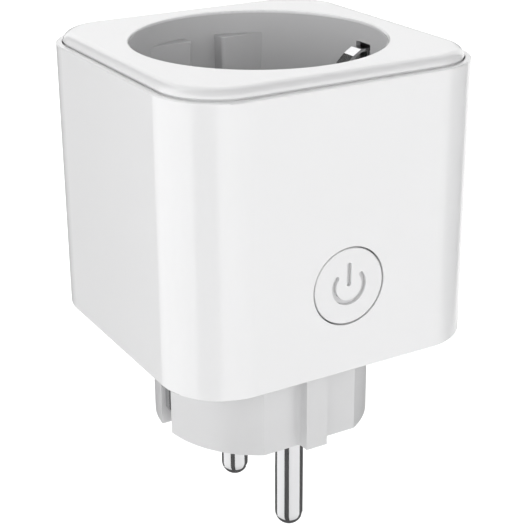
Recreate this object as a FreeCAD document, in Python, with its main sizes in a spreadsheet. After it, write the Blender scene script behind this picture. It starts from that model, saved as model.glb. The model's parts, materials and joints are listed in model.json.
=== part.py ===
import FreeCAD, Part
import math
import os
import re
import Sketcher

# Smart plug: a cube-shaped switched adaptor for two-pin earthed mains sockets.
# Origin: centre of the plug's engagement face, midway between the pins.
# +Z points up to the socket face, -Y to the push button; the pins lie along Y.

Vec = FreeCAD.Vector
doc = FreeCAD.newDocument("smart_plug")
dims = doc.addObject("Spreadsheet::Sheet", "Dimensions")
nodes = []

DIMENSIONS = [
    ("body_half", 26.5, "half the body's width"),
    ("body_corner", 10.25, "radius of the body's upright corners"),
    ("body_height", 46.8, "underside of the body to the top of the fascia"),
    ("sleeve_wall", 2.0, "wall of the outer sleeve"),
    ("sleeve_rim", 0.9, "thin rim of the sleeve beside the seam"),
    ("seam_drop", 1.55, "top of the fascia down to the seam"),
    ("seam_gap", 0.14, "gap between the fascia and the sleeve's rim"),
    ("seam_notch", 0.22, "depth of the shadow notch round the fascia"),
    ("fascia_edge", 1.6, "rounding of the fascia's outer edge"),
    ("opening_radius", 20.28, "opening in the fascia"),
    ("recess_radius", 19.7, "inside of the socket recess at its floor"),
    ("recess_depth", 17.5, "fascia top down to the socket floor"),
    ("cup_radius", 20.9, "outside of the socket cup"),
    ("floor_thick", 2.0, "floor of the socket cup"),
    ("block_face", 17.0, "guide block faces from the middle"),
    ("block_side", 2.85, "half the gap between two guide blocks"),
    ("block_drop", 3.75, "fascia top down to the guide block tops"),
    ("entry_radius", 2.75, "pin entries in the socket floor"),
    ("stem_height", 17.5, "engagement face up to the body's underside"),
    ("stem_radius", 18.2, "round part of the plug's stem"),
    ("flat_face", 16.0, "flats on the stem, from the middle"),
    ("rib_half", 1.95, "half the width of the stem's ribs"),
    ("rib_reach", 18.15, "outer face of the ribs, from the middle"),
    ("channel_half", 1.75, "half the width of the earth channels"),
    ("channel_floor", 16.4, "floor of the earth channels, from the middle"),
    ("pin_pitch", 19.0, "distance between the pins"),
    ("pin_radius", 2.4, "plug pins"),
    ("pin_length", 19.0, "plug pins below the engagement face"),
    ("neck_radius", 2.0, "pins inside the stem"),
    ("pin_hole_mouth", 2.7, "countersink of the pin holes at the engagement face"),
    ("base_thick", 2.0, "rear base plate and stem floor"),
    ("earth_hole_offset", 10.0, "earth pin hole from the middle"),
    ("earth_hole_radius", 2.6, "earth pin hole"),
    ("button_height", 31.73, "middle of the button above the engagement face"),
    ("button_radius", 6.05, "button cap"),
    ("button_gap", 0.24, "gap round the button cap"),
    ("symbol_depth", 0.55, "button face down to the symbol's light guides"),
    ("board_level", 23.0, "underside of the main board"),
    ("board_thick", 1.6, "main board"),
    ("post_offset", 18.03, "screw posts from the middle, each way"),
    ("post_radius", 3.0, "screw posts"),
    ("post_top", 57.5, "top of the screw posts"),
    ("tray_level", 37.4, "underside of the shutter tray"),
    ("relay_wide", 12.6, "relay across"),
    ("relay_long", 28.8, "relay along the pin line"),
    ("relay_tall", 12.3, "relay height"),
    ("relay_middle", 13.9, "middle of the relay from the pin line"),
]


def write_dimensions():
    for row, (name, value, meaning) in enumerate(DIMENSIONS, start=1):
        dims.set("A%d" % row, name)
        dims.set("B%d" % row, str(value))
        dims.set("C%d" % row, meaning)
        dims.setAlias("B%d" % row, name)
    doc.recompute()


NAMES = re.compile(r"\b(" + "|".join(name for name, _, _ in DIMENSIONS) + r")\b")


def evaluate(size):
    """Value of a number or of an expression in the sheet's names."""
    if isinstance(size, str):
        return float(dims.evalExpression(size))
    return float(size)


def drive(obj, path, size):
    """Drive a property from the dimension sheet."""
    obj.setExpression(path, NAMES.sub(r"Dimensions.\1", size))


def set_size(obj, name, size):
    """Set a length to a number or drive it by an expression."""
    setattr(obj, name, evaluate(size))
    if isinstance(size, str):
        drive(obj, name, size)


def place(obj, x=0, y=0, z=0):
    """Move an object to a point given by numbers or expressions."""
    base = Vec(evaluate(x), evaluate(y), evaluate(z))
    obj.Placement = FreeCAD.Placement(base, obj.Placement.Rotation)
    for axis, size in (("x", x), ("y", y), ("z", z)):
        if isinstance(size, str):
            drive(obj, "Placement.Base." + axis, size)


def finish(obj, label):
    """Name a finished sub-part and list it for export."""
    obj.Label = label
    nodes.append(obj)
    return obj


# --- Sketch and feature helpers ------------------------------------------------


def new_body(label):
    body = doc.addObject("PartDesign::Body", label)
    return finish(body, label)


def new_sketch(body, name, role="XY_Plane", level=None):
    """Sketch on one of the body's own origin planes, moved along its normal."""
    sketch = body.newObject("Sketcher::SketchObject", name)
    plane = [f for f in body.Origin.OriginFeatures if f.Role == role][0]
    sketch.AttachmentSupport = [(plane, "")]
    sketch.MapMode = "FlatFace"
    if level is not None:
        sketch.AttachmentOffset = FreeCAD.Placement(Vec(0, 0, evaluate(level)), FreeCAD.Rotation())
        if isinstance(level, str):
            drive(sketch, "AttachmentOffset.Base.z", level)
    return sketch


def constrain(sketch, size, *what):
    """Add a dimension, driven by the sheet if its size is an expression."""
    index = sketch.addConstraint(Sketcher.Constraint(*what, evaluate(size)))
    if isinstance(size, str):
        drive(sketch, "Constraints[%d]" % index, size)


def from_origin(sketch, geo, point, x, y):
    """Fix a point's position from the sketch origin."""
    for kind, size, axis in (("DistanceX", x, -2), ("DistanceY", y, -1)):
        if abs(evaluate(size)) < 1e-9:
            sketch.addConstraint(Sketcher.Constraint("PointOnObject", geo, point, axis))
        else:
            constrain(sketch, size, kind, -1, 1, geo, point)


def add_circle(sketch, radius, x=0, y=0):
    centre = Vec(evaluate(x), evaluate(y), 0)
    geo = sketch.addGeometry(Part.Circle(centre, Vec(0, 0, 1), evaluate(radius)), False)
    constrain(sketch, radius, "Radius", geo)
    from_origin(sketch, geo, 3, x, y)
    return geo


def add_polygon(sketch, points):
    """Closed outline whose corners are each fixed from the origin."""
    corners = [Vec(evaluate(x), evaluate(y), 0) for x, y in points]
    count = len(corners)
    first = None
    for i in range(count):
        geo = sketch.addGeometry(Part.LineSegment(corners[i], corners[(i + 1) % count]), False)
        first = geo if first is None else first
    for i in range(count):
        after = first + (i + 1) % count
        sketch.addConstraint(Sketcher.Constraint("Coincident", first + i, 2, after, 1))
    for i, (x, y) in enumerate(points):
        from_origin(sketch, first + i, 1, x, y)
    return first


def add_box(sketch, x_low, x_high, y_low, y_high):
    return add_polygon(sketch, [(x_low, y_low), (x_high, y_low), (x_high, y_high), (x_low, y_high)])


def add_rounded_square(sketch, half, radius):
    """Square with round corners, centred on the origin."""
    h = evaluate(half)
    r = evaluate(radius)
    k = h - r
    lines = [
        (Vec(-k, -h, 0), Vec(k, -h, 0)),
        (Vec(h, -k, 0), Vec(h, k, 0)),
        (Vec(k, h, 0), Vec(-k, h, 0)),
        (Vec(-h, k, 0), Vec(-h, -k, 0)),
    ]
    centres = [Vec(k, -k, 0), Vec(k, k, 0), Vec(-k, k, 0), Vec(-k, -k, 0)]
    first = sketch.GeometryCount
    for i in range(4):
        sketch.addGeometry(Part.LineSegment(*lines[i]), False)
        circle = Part.Circle(centres[i], Vec(0, 0, 1), r)
        start = math.pi / 2 * (i - 1)
        sketch.addGeometry(Part.ArcOfCircle(circle, start, start + math.pi / 2), False)
    for i in range(4):
        line = first + 2 * i
        arc = line + 1
        after = first + (2 * i + 2) % 8
        sketch.addConstraint(Sketcher.Constraint("Tangent", line, 2, arc, 1))
        sketch.addConstraint(Sketcher.Constraint("Tangent", arc, 2, after, 1))
        direction = "Horizontal" if i % 2 == 0 else "Vertical"
        sketch.addConstraint(Sketcher.Constraint(direction, line))
        if i:
            sketch.addConstraint(Sketcher.Constraint("Equal", first + 1, arc))
    constrain(sketch, radius, "Radius", first + 1)
    sketch.addConstraint(Sketcher.Constraint("Symmetric", first + 1, 3, first + 5, 3, -1, 1))
    across = "%s - (%s)" % (half, radius)
    from_origin(sketch, first + 1, 3, across, "-(%s)" % across)


def feature(body, kind, name, profile, length=None, reverse=False, through=False):
    """Pad or pocket of a sketch by an expression's length."""
    made = body.newObject("PartDesign::" + kind, name)
    made.Profile = profile
    if through:
        made.Type = 1
    else:
        set_size(made, "Length", length)
    made.Reversed = reverse
    profile.Visibility = False
    doc.recompute()
    return made


def pocket(body, name, profile, length=None, reverse=False, through=False):
    """Pocket that is checked to take material away."""
    before = body.Shape.Volume
    made = feature(body, "Pocket", name, profile, length, reverse, through)
    if not body.Shape.Volume < before - 1e-6:
        raise ValueError("%s took nothing away" % name)
    return made


def revolve(body, name, profile, axis="V_Axis"):
    made = body.newObject("PartDesign::Revolution", name)
    made.Profile = profile
    made.ReferenceAxis = (profile, [axis])
    made.Angle = 360.0
    profile.Visibility = False
    doc.recompute()
    return made


def dress(body, kind, name, size, wanted):
    """Round or chamfer the edges of the body's tip that a test picks out."""
    base = body.Tip
    names = []
    for i, edge in enumerate(base.Shape.Edges, start=1):
        if wanted(edge):
            names.append("Edge%d" % i)
    if not names:
        raise ValueError("%s found no edge" % name)
    made = body.newObject("PartDesign::" + kind, name)
    made.Base = (base, names)
    set_size(made, "Radius" if kind == "Fillet" else "Size", size)
    doc.recompute()
    return made


def at_level(edge, z, tolerance=1e-4):
    box = edge.BoundBox
    return abs(box.ZMin - z) < tolerance and abs(box.ZMax - z) < tolerance


def reach(edge):
    """Largest of |x| and |y| anywhere on an edge."""
    box = edge.BoundBox
    return max(abs(box.XMin), abs(box.XMax), abs(box.YMin), abs(box.YMax))


# --- Primitive helpers -----------------------------------------------------------


def block(name, x_low, x_high, y_low, y_high, z_low, z_high):
    """Box between two corners, each coordinate a number or an expression."""
    box = doc.addObject("Part::Box", name)
    spans = (("Length", x_low, x_high), ("Width", y_low, y_high), ("Height", z_low, z_high))
    for side, low, high in spans:
        plain = not isinstance(low, str) and not isinstance(high, str)
        set_size(box, side, high - low if plain else "(%s) - (%s)" % (high, low))
    place(box, x_low, y_low, z_low)
    return box


def rod(name, radius, x, y, z, length, axis="Z"):
    """Cylinder that starts at a point and runs along +X, +Y or +Z."""
    cylinder = doc.addObject("Part::Cylinder", name)
    set_size(cylinder, "Radius", radius)
    set_size(cylinder, "Height", length)
    turns = {"Z": (Vec(0, 0, 1), 0), "X": (Vec(0, 1, 0), 90), "Y": (Vec(1, 0, 0), -90)}
    cylinder.Placement = FreeCAD.Placement(Vec(0, 0, 0), FreeCAD.Rotation(*turns[axis]))
    place(cylinder, x, y, z)
    return cylinder


def join(name, parts):
    fused = doc.addObject("Part::MultiFuse", name)
    fused.Shapes = parts
    fused.Refine = True
    return fused


def cut(name, base, tools):
    """Take one or more solids away from a base."""
    tool = tools[0] if len(tools) == 1 else join(name + "_tools", tools)
    made = doc.addObject("Part::Cut", name)
    made.Base = base
    made.Tool = tool
    made.Refine = True
    return made


def group(name, parts):
    """Several separate solids kept as one sub-part."""
    made = doc.addObject("Part::Compound", name)
    made.Links = parts
    return made


def round_edges(name, base, radius, wanted):
    """Round the edges of a solid that a test picks out."""
    doc.recompute()
    made = doc.addObject("Part::Fillet", name)
    made.Base = base
    picked = [i for i, edge in enumerate(base.Shape.Edges, start=1) if wanted(edge)]
    made.Edges = [(i, radius, radius) for i in picked]
    return made


# --- Housing ---------------------------------------------------------------------


def make_outer_sleeve():
    """Square tube with a seam rebate, an inner ledge, board rails and a button hole."""
    body = new_body("outer_sleeve")
    place(body, z="stem_height")
    tall = "body_height - seam_drop"
    inside = "body_half - sleeve_wall"
    inside_corner = "body_corner - sleeve_wall"

    outline = new_sketch(body, "sleeve_outline")
    add_rounded_square(outline, "body_half", "body_corner")
    feature(body, "Pad", "sleeve_block", outline, tall)

    ledge = new_sketch(body, "sleeve_ledge", level=tall)
    add_rounded_square(ledge, inside + " - 1", inside_corner + " - 1")
    pocket(body, "sleeve_bore", ledge, through=True)

    upper = new_sketch(body, "sleeve_upper", level=tall)
    add_rounded_square(upper, inside, inside_corner)
    pocket(body, "sleeve_upper_bore", upper, tall + " - base_thick - 1.3")

    lower = new_sketch(body, "sleeve_lower")
    add_rounded_square(lower, inside, inside_corner)
    pocket(body, "sleeve_lower_bore", lower, "base_thick + 0.1", reverse=True)

    rebate = new_sketch(body, "sleeve_rebate", level=tall)
    add_rounded_square(rebate, "body_half - sleeve_rim", "body_corner - sleeve_rim")
    pocket(body, "sleeve_seam_rebate", rebate, 1.85)

    rails = new_sketch(body, "board_rails", level="board_level + 2 - stem_height")
    for side in (-1, 1):
        add_box(rails, 11.5 * side, 13.9 * side, "1 - body_half", -16.4)
    feature(body, "Pad", "board_rail_pads", rails, 18)

    slots = new_sketch(body, "rail_slots", level="board_level + 20 - stem_height")
    for side in (-1, 1):
        add_box(slots, 11.2 * side, 12.8 * side, -19.2, -17.8)
    pocket(body, "board_rail_slots", slots, 19)

    snaps = new_sketch(body, "fascia_snap_recesses", level=tall + " - 2.25")
    for corners in snap_boxes(24.2, 25.05, 4.2):
        add_box(snaps, *corners)
    pocket(body, "fascia_snap_pockets", snaps, 1.4)

    hole = new_sketch(body, "button_opening", role="XZ_Plane")
    add_circle(hole, "button_radius + button_gap", 0, "button_height - stem_height")
    pocket(body, "button_hole", hole, reverse=True, through=True)

    top = evaluate(tall)
    dress(body, "Fillet", "sleeve_rim_round", 0.3, lambda edge: is_outline(edge, top))
    dress(body, "Fillet", "sleeve_foot_round", 0.25, lambda edge: is_outline(edge, 0))
    return body


def snap_boxes(inner, outer, half):
    """Four small rectangles at the middle of each side."""
    return [
        (-half, half, inner, outer),
        (-half, half, -outer, -inner),
        (inner, outer, -half, half),
        (-outer, -inner, -half, half),
    ]


def is_outline(edge, z):
    """Is this edge part of the body's outer outline at a level?"""
    if not at_level(edge, z):
        return False
    if isinstance(edge.Curve, Part.Circle):
        return abs(edge.Curve.Radius - evaluate("body_corner")) < 1e-3
    return reach(edge) > evaluate("body_half") - 0.01


def make_top_fascia():
    """Square cap with a round opening, a soft outer edge and a snap-in skirt."""
    body = new_body("top_fascia")
    place(body, z="stem_height + body_height - 3.1")
    half = "body_half - sleeve_rim - seam_gap"
    corner = "body_corner - sleeve_rim - seam_gap"

    outline = new_sketch(body, "fascia_outline")
    add_rounded_square(outline, half, corner)
    feature(body, "Pad", "fascia_plate", outline, 3.1)

    under = new_sketch(body, "fascia_underside")
    add_rounded_square(under, half + " - 2.05", corner + " - 2.05")
    pocket(body, "fascia_hollow", under, 1.5, reverse=True)

    skirt = new_sketch(body, "fascia_skirt", level=-2.5)
    add_rounded_square(skirt, "body_half - sleeve_wall - 0.1", "body_corner - sleeve_wall - 0.1")
    add_rounded_square(skirt, half + " - 2.05", corner + " - 2.05")
    feature(body, "Pad", "fascia_skirt_wall", skirt, 2.5)

    snaps = new_sketch(body, "fascia_snaps", level=-1.9)
    for corners in snap_boxes(24.0, 24.9, 4.0):
        add_box(snaps, *corners)
    feature(body, "Pad", "fascia_snap_noses", snaps, 1.0)

    opening = new_sketch(body, "fascia_opening", level=3.1)
    add_circle(opening, "opening_radius")
    pocket(body, "fascia_hole", opening, through=True)

    limit = evaluate(half)
    dress(body, "Fillet", "fascia_edge_round", "fascia_edge",
          lambda edge: at_level(edge, 3.1) and reach(edge) > limit - 3 and not is_hole_edge(edge))
    dress(body, "Fillet", "fascia_opening_round", 0.3,
          lambda edge: at_level(edge, 3.1) and is_hole_edge(edge))

    notch = new_sketch(body, "fascia_notch")
    add_rounded_square(notch, half + " + 1", corner + " + 1")
    add_rounded_square(notch, half + " - seam_notch", corner + " - seam_notch")
    pocket(body, "fascia_shadow_notch", notch, "3.1 - seam_drop + 0.25", reverse=True)
    return body


def is_hole_edge(edge):
    """Is this edge the rim of the fascia's round opening?"""
    curve = edge.Curve
    return isinstance(curve, Part.Circle) and abs(curve.Radius - evaluate("opening_radius")) < 0.01


def add_chord_block(sketch, side_x, side_y):
    """Guide block outline: flat towards the middle, round against the cup wall."""
    inner = evaluate("block_side")
    face = evaluate("block_face")
    radius = evaluate("recess_radius") + 0.6
    far_x = math.sqrt(radius ** 2 - face ** 2)
    far_y = math.sqrt(radius ** 2 - inner ** 2)
    a = Vec(side_x * inner, side_y * face, 0)
    b = Vec(side_x * far_x, side_y * face, 0)
    c = Vec(side_x * inner, side_y * far_y, 0)
    angle_b = math.atan2(b.y, b.x)
    angle_c = math.atan2(c.y, c.x)
    forward = side_x * side_y > 0
    low, high = (angle_b, angle_c) if forward else (angle_c, angle_b)
    flat = sketch.addGeometry(Part.LineSegment(a, b), False)
    circle = Part.Circle(Vec(0, 0, 0), Vec(0, 0, 1), radius)
    arc = sketch.addGeometry(Part.ArcOfCircle(circle, low, high), False)
    side = sketch.addGeometry(Part.LineSegment(c, a), False)
    arc_b, arc_c = (1, 2) if forward else (2, 1)
    sketch.addConstraint(Sketcher.Constraint("Coincident", flat, 2, arc, arc_b))
    sketch.addConstraint(Sketcher.Constraint("Coincident", arc, arc_c, side, 1))
    sketch.addConstraint(Sketcher.Constraint("Coincident", side, 2, flat, 1))
    sketch.addConstraint(Sketcher.Constraint("Coincident", arc, 3, -1, 1))
    sketch.addConstraint(Sketcher.Constraint("Horizontal", flat))
    sketch.addConstraint(Sketcher.Constraint("Vertical", side))
    constrain(sketch, "recess_radius + 0.6", "Radius", arc)
    from_origin(sketch, flat, 1, "%d * block_side" % side_x, "%d * block_face" % side_y)


def make_socket_cup():
    """Tapered socket recess with a floor, guide blocks, clip windows and screw ears."""
    body = new_body("socket_cup")
    place(body, z="stem_height + body_height - recess_depth")
    rim = "recess_depth - 0.4"
    shoulder = "recess_depth - 1.7"

    section = new_sketch(body, "cup_section", role="XZ_Plane")
    add_polygon(section, [
        (0, "-floor_thick"), ("cup_radius", "-floor_thick"), ("cup_radius", shoulder),
        ("opening_radius - 0.06", shoulder), ("opening_radius - 0.06", rim),
        ("opening_radius - 0.14", rim), ("recess_radius", 0), (0, 0),
    ])
    revolve(body, "cup_wall", section)

    blocks = new_sketch(body, "guide_blocks")
    for side_x, side_y in ((1, 1), (-1, 1), (-1, -1), (1, -1)):
        add_chord_block(blocks, side_x, side_y)
    feature(body, "Pad", "guide_block_pads", blocks, "recess_depth - block_drop")

    ears = new_sketch(body, "screw_ears", level="post_top - stem_height - body_height + recess_depth")
    for side_x in (-1, 1):
        for side_y in (-1, 1):
            add_box(ears, 14.2 * side_x, 20.9 * side_x, 14.2 * side_y, 20.9 * side_y)
    feature(body, "Pad", "screw_ear_pads", ears, 2)

    holes = new_sketch(body, "screw_holes", level="post_top - stem_height - body_height + recess_depth + 2")
    for side_x in (-1, 1):
        for side_y in (-1, 1):
            add_circle(holes, 1.5, "%d * post_offset" % side_x, "%d * post_offset" % side_y)
    pocket(body, "screw_hole_pockets", holes, 3)

    entries = new_sketch(body, "pin_entries")
    for side in (-1, 1):
        add_circle(entries, "entry_radius", 0, "%d * pin_pitch / 2" % side)
    pocket(body, "pin_entry_holes", entries, "floor_thick + 1")

    bosses = new_sketch(body, "tray_bosses", level="-floor_thick - 2.4")
    for side in (-1, 1):
        add_circle(bosses, 2.6, 0, 17.2 * side)
    feature(body, "Pad", "tray_boss_pads", bosses, 2.6)

    pilots = new_sketch(body, "tray_pilots", level="-floor_thick - 2.4")
    for side in (-1, 1):
        add_circle(pilots, 0.9, 0, 17.2 * side)
    pocket(body, "tray_pilot_holes", pilots, 3.6, reverse=True)

    windows = new_sketch(body, "clip_windows", role="YZ_Plane")
    add_box(windows, -2, 2, 1.7, "recess_depth - 3.35")
    slot = feature(body, "Pocket", "clip_window_slots", windows, 60)
    slot.SideType = "Symmetric"
    doc.recompute()

    face = evaluate("block_face")
    dress(body, "Fillet", "guide_block_corners", 0.6, lambda edge: is_block_corner(edge, face))
    level = evaluate("recess_depth - block_drop")
    dress(body, "Fillet", "guide_block_tops", 0.15,
          lambda edge: at_level(edge, level) and faces_middle(edge, face))
    return body


def is_block_corner(edge, face):
    box = edge.BoundBox
    upright = box.ZLength > 5 and box.XLength < 1e-4 and box.YLength < 1e-4
    return upright and abs(abs(box.YMin) - face) < 1e-3 and abs(box.XMin) < 4


def faces_middle(edge, face):
    """Is this edge along the flat of a guide block?"""
    box = edge.BoundBox
    return box.YLength < 1e-4 and abs(abs(box.YMin) - face) < 1e-3


def make_plug_stem():
    """Hollow plug stem with flats, ribs, earth channels and bosses for the pins."""
    round_part = rod("stem_round", "stem_radius", 0, 0, 0, "stem_height")
    sides = []
    for side in (-1, 1):
        low, high = ("flat_face", 20) if side > 0 else (-20, "-flat_face")
        sides.append(block("stem_flat", -12, 12, low, high, -1, "stem_height + 1"))
    rounded = cut("stem_with_flats", round_part, sides)
    ribs = block("stem_ribs", "-rib_half", "rib_half", "-rib_reach", "rib_reach", 0, "stem_height")
    outside = round_edges("stem_rib_roots", join("stem_outside", [rounded, ribs]), 0.6, is_rib_root)
    spigot = rod("stem_spigot", 15.5, 0, 0, "stem_height - 1", "base_thick + 1")

    hollow = [rod("stem_hollow", 13.8, 0, 0, "base_thick", "stem_height + base_thick")]
    for side in (-1, 1):
        low, high = ("channel_floor", 20) if side > 0 else (-20, "-channel_floor")
        hollow.append(block("earth_channel", low, high, "-channel_half", "channel_half",
                            -1, "stem_height + 1"))
    shell = cut("stem_shell", join("stem_and_spigot", [outside, spigot]), hollow)

    bosses = [shell]
    holes = []
    for side in (-1, 1):
        middle = "%d * pin_pitch / 2" % side
        bosses.append(rod("pin_boss", 4, 0, middle, 0, 12))
        holes.append(rod("pin_hole", "neck_radius + 0.05", 0, middle, -1, 14))
        holes.append(countersink("pin_hole_mouth_cut", "pin_hole_mouth", middle))
    bosses.append(rod("earth_boss", 4, "earth_hole_offset", 0, 0, 15.5))
    holes.append(rod("earth_boss_hole", 2.8, "earth_hole_offset", 0, 2, 15))
    holes.append(rod("earth_hole_mouth", "earth_hole_radius", "earth_hole_offset", 0, -1, 4))
    finish(cut("stem_body", join("stem_solids", bosses), holes), "plug_stem")


def countersink(name, mouth, y):
    """Cone that opens a hole at the engagement face, a millimetre deep."""
    cone = doc.addObject("Part::Cone", name)
    set_size(cone, "Radius1", mouth)
    set_size(cone, "Radius2", mouth + " - 1")
    cone.Height = 1
    place(cone, 0, y, 0)
    return cone


def make_base_plate():
    """Plate that closes the sleeve from below, with screw posts and board rests."""
    opening = rod("plate_opening", 15.6, 0, 0, "stem_height - 1", "base_thick + 2")
    tools = [opening]
    for side in (-1, 1):
        low, high = ("channel_floor", 17.7) if side > 0 else (-17.7, "-channel_floor")
        tools.append(block("earth_slot", low, high, "-channel_half", "channel_half",
                           "stem_height - 1", "stem_height + base_thick + 1"))
    solids = [cut("plate_with_opening", new_plate(), tools)]
    pilots = []
    for side_x in (-1, 1):
        for side_y in (-1, 1):
            spot = ("%d * post_offset" % side_x, "%d * post_offset" % side_y)
            solids.append(rod("screw_post", "post_radius", *spot, "stem_height + 1",
                              "post_top - stem_height - 1"))
            pilots.append(rod("screw_pilot", 1.25, *spot, "post_top - 12", 13))
            solids.append(rod("board_rest", 2, 11.5 * side_x, 20 * side_y, "stem_height + 1",
                              "board_level - stem_height - 1"))
    finish(cut("plate_body", join("plate_solids", solids), pilots), "base_plate")


def new_plate():
    """Square plate with round corners."""
    body = doc.addObject("PartDesign::Body", "plate_blank")
    place(body, z="stem_height")
    outline = new_sketch(body, "plate_outline")
    add_rounded_square(outline, "body_half - sleeve_wall - 0.12", "body_corner - sleeve_wall - 0.12")
    feature(body, "Pad", "plate_pad", outline, "base_thick")
    return body


def is_rib_root(edge):
    """Upright edge where a rib meets its flat."""
    box = edge.BoundBox
    upright = box.ZLength > 5 and box.XLength < 1e-4 and box.YLength < 1e-4
    return (upright and abs(abs(box.YMin) - evaluate("flat_face")) < 1e-3
            and abs(abs(box.XMin) - evaluate("rib_half")) < 1e-3)


def make_pin(label, side):
    """Round plug pin with a domed tip, a neck and shoulder in the stem and a solder tail."""
    body = new_body(label)
    place(body, y="%d * pin_pitch / 2" % side)
    section = new_sketch(body, label + "_section", role="XZ_Plane")
    r = "pin_radius"
    tip = "pin_radius - pin_length"
    corners = [(0, "-pin_length"), (r, tip), (r, 0), ("neck_radius", 0), ("neck_radius", 12),
               (3.4, 12), (3.4, 13.5), (1.6, 13.5), (1.6, 26.2), (0, 26.2)]
    points = [Vec(evaluate(x), evaluate(y), 0) for x, y in corners]
    circle = Part.Circle(Vec(0, evaluate(tip), 0), Vec(0, 0, 1), evaluate(r))
    dome = section.addGeometry(Part.ArcOfCircle(circle, -math.pi / 2, 0), False)
    last = len(points)
    for i in range(1, last):
        section.addGeometry(Part.LineSegment(points[i], points[(i + 1) % last]), False)
    section.addConstraint(Sketcher.Constraint("Tangent", dome, 2, 1, 1))
    for i in range(1, last):
        section.addConstraint(Sketcher.Constraint("Coincident", i, 2, (i + 1) % last, 1))
    constrain(section, r, "Radius", dome)
    from_origin(section, dome, 3, 0, tip)
    for i in range(2, last):
        from_origin(section, i, 1, *corners[i])
    section.addConstraint(Sketcher.Constraint("PointOnObject", dome, 1, -2))
    revolve(body, label + "_turned", section)
    return body


# --- Earth path ------------------------------------------------------------------


def strip(label, outline, half_width):
    """Bent metal strip: an outline in X and Z, as wide as it is deep in Y."""
    body = new_body(label)
    sketch = new_sketch(body, label + "_outline", role="XZ_Plane")
    add_polygon(sketch, outline)
    made = feature(body, "Pad", label + "_bend", sketch, 2 * half_width)
    made.SideType = "Symmetric"
    doc.recompute()
    return body


def offset_outline(path, thick):
    """Outline of a strip: a path of points and the same path moved sideways."""
    moved = []
    for i, (x, z) in enumerate(path):
        before = path[max(i - 1, 0)]
        after = path[min(i + 1, len(path) - 1)]
        normals = []
        for a, b in ((before, (x, z)), ((x, z), after)):
            length = math.hypot(b[0] - a[0], b[1] - a[1])
            if length > 1e-9:
                normals.append(((a[1] - b[1]) / length, (b[0] - a[0]) / length))
        nx = sum(n[0] for n in normals)
        nz = sum(n[1] for n in normals)
        scale = thick * 2 / (nx * nx + nz * nz) if len(normals) == 2 else thick
        moved.append((x + nx * scale, z + nz * scale))
    return path + moved[::-1]


def mirrored(outline):
    return [(-x, z) for x, z in outline]


def make_earth_path():
    """Stem contacts, bridge, socket clips and earth pin tube, joined end to end."""
    contact = offset_outline(
        [(16.9, 2.2), (17.4, 3.2), (17.4, 16.6), (16.95, 17.5), (16.95, 19.5), (20.4, 19.5)], 0.5)
    clip = offset_outline(
        [(18.6, 20.6), (22.0, 20.6), (22.0, 60.3), (18.65, 60.3), (17.1, 59.35), (15.6, 57.9),
         (14.9, 56.4), (14.9, 53.4), (15.9, 51.4), (19.2, 49.8)], 0.5)
    rounded_strip("stem_earth_contact_right", contact, 1.65)
    rounded_strip("stem_earth_contact_left", mirrored(contact), 1.65)
    rounded_strip("earth_clip_right", clip, 1.35)
    rounded_strip("earth_clip_left", mirrored(clip), 1.35)

    bar = block("earth_bar", -22, 22, -2.2, 2.2, 20.0, 20.6)
    finish(round_edges("earth_bar_round", bar, 0.8, is_upright), "earth_bridge")

    tube = rod("earth_tube_wall", 2.72, "earth_hole_offset", 0, 2, 13.5)
    bore = rod("earth_tube_bore", 2.42, "earth_hole_offset", 0, 1, 16)
    slit = block("earth_tube_slit", "earth_hole_offset - 3.5", "earth_hole_offset", -0.4, 0.4, 4, 16)
    tail = block("earth_tube_tail", "earth_hole_offset + 2.35", "earth_hole_offset + 2.65",
                 -0.8, 0.8, 14.2, 20)
    open_tube = cut("earth_tube", tube, [bore, slit])
    finish(join("earth_tube_with_tail", [open_tube, tail]), "earth_pin_tube")


def rounded_strip(label, outline, half_width):
    """Bent strip with its inside and outside bends rounded."""
    body = strip(label, outline, half_width)
    dress(body, "Fillet", label + "_bend_rounds", 0.22, is_bend)
    return body


def is_bend(edge):
    """Edge that runs across a strip at one of its bends."""
    box = edge.BoundBox
    across = box.YLength > 1 and box.XLength < 1e-4 and box.ZLength < 1e-4
    x = abs(box.XMin)
    z = box.ZMin
    ends = (z < 3 and x < 17) or (20.3 < x < 21 and z < 20.1) or (18 < x < 19 and z < 22)
    return across and not ends and not (x > 18.7 and 48 < z < 51)


def is_upright(edge):
    box = edge.BoundBox
    return box.XLength < 1e-4 and box.YLength < 1e-4


def runs_along_y(edge):
    """Does this edge reach through a thin plate along Y?"""
    return edge.BoundBox.YLength > 0.5


# --- Socket contacts and child-safety shutter ---------------------------------------


def make_socket_contact(label, side):
    """Split spring sleeve under a pin entry, with a flared mouth and a board leg."""
    body = doc.addObject("PartDesign::Body", label + "_sleeve")
    place(body, y="%d * pin_pitch / 2" % side)
    section = new_sketch(body, label + "_section", role="XZ_Plane")
    add_polygon(section, [(2.35, 28.2), (2.9, 28.2), (2.9, 35.4), (3.4, 36.6), (2.9, 36.9), (2.35, 35.4)])
    revolve(body, label + "_turned", section)
    middle = side * 9.5
    slits = [
        block("contact_slit", -0.35, 0.35, middle - 4, middle + 4, 30, 38),
        block("contact_slit", -4, 4, middle - 0.35, middle + 0.35, 30, 38),
    ]
    low, high = sorted((side * 12.05, side * 12.6))
    leg = block("contact_leg", -1.3, 1.3, low, high, 22.3, 29.4)
    sleeve = cut(label + "_split", body, slits)
    finish(join(label + "_joined", [sleeve, leg]), label)


def make_shutter():
    """Sliding shutter: a plate with two windows, and a ramp under each pin entry."""
    level = "tray_level + 1.6"
    plate = block("shutter_plate", -11, 5, -12.9, 12.9, level, level + " + 1.5")
    push_face = block("shutter_push_face", 3.5, 5, -12.9, 12.9, level, level + " + 5.2")
    windows = []
    ramps = []
    for side in (-1, 1):
        low = 9.5 * side - 3.1
        windows.append(block("shutter_window", -9.4, 3.4, low, low + 6.2, 38, 42))
        ramps.append(ramp(low, level))
    frame = cut("shutter_frame", plate, windows)
    finish(join("shutter_body", [frame, push_face] + ramps), "shutter")


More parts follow.
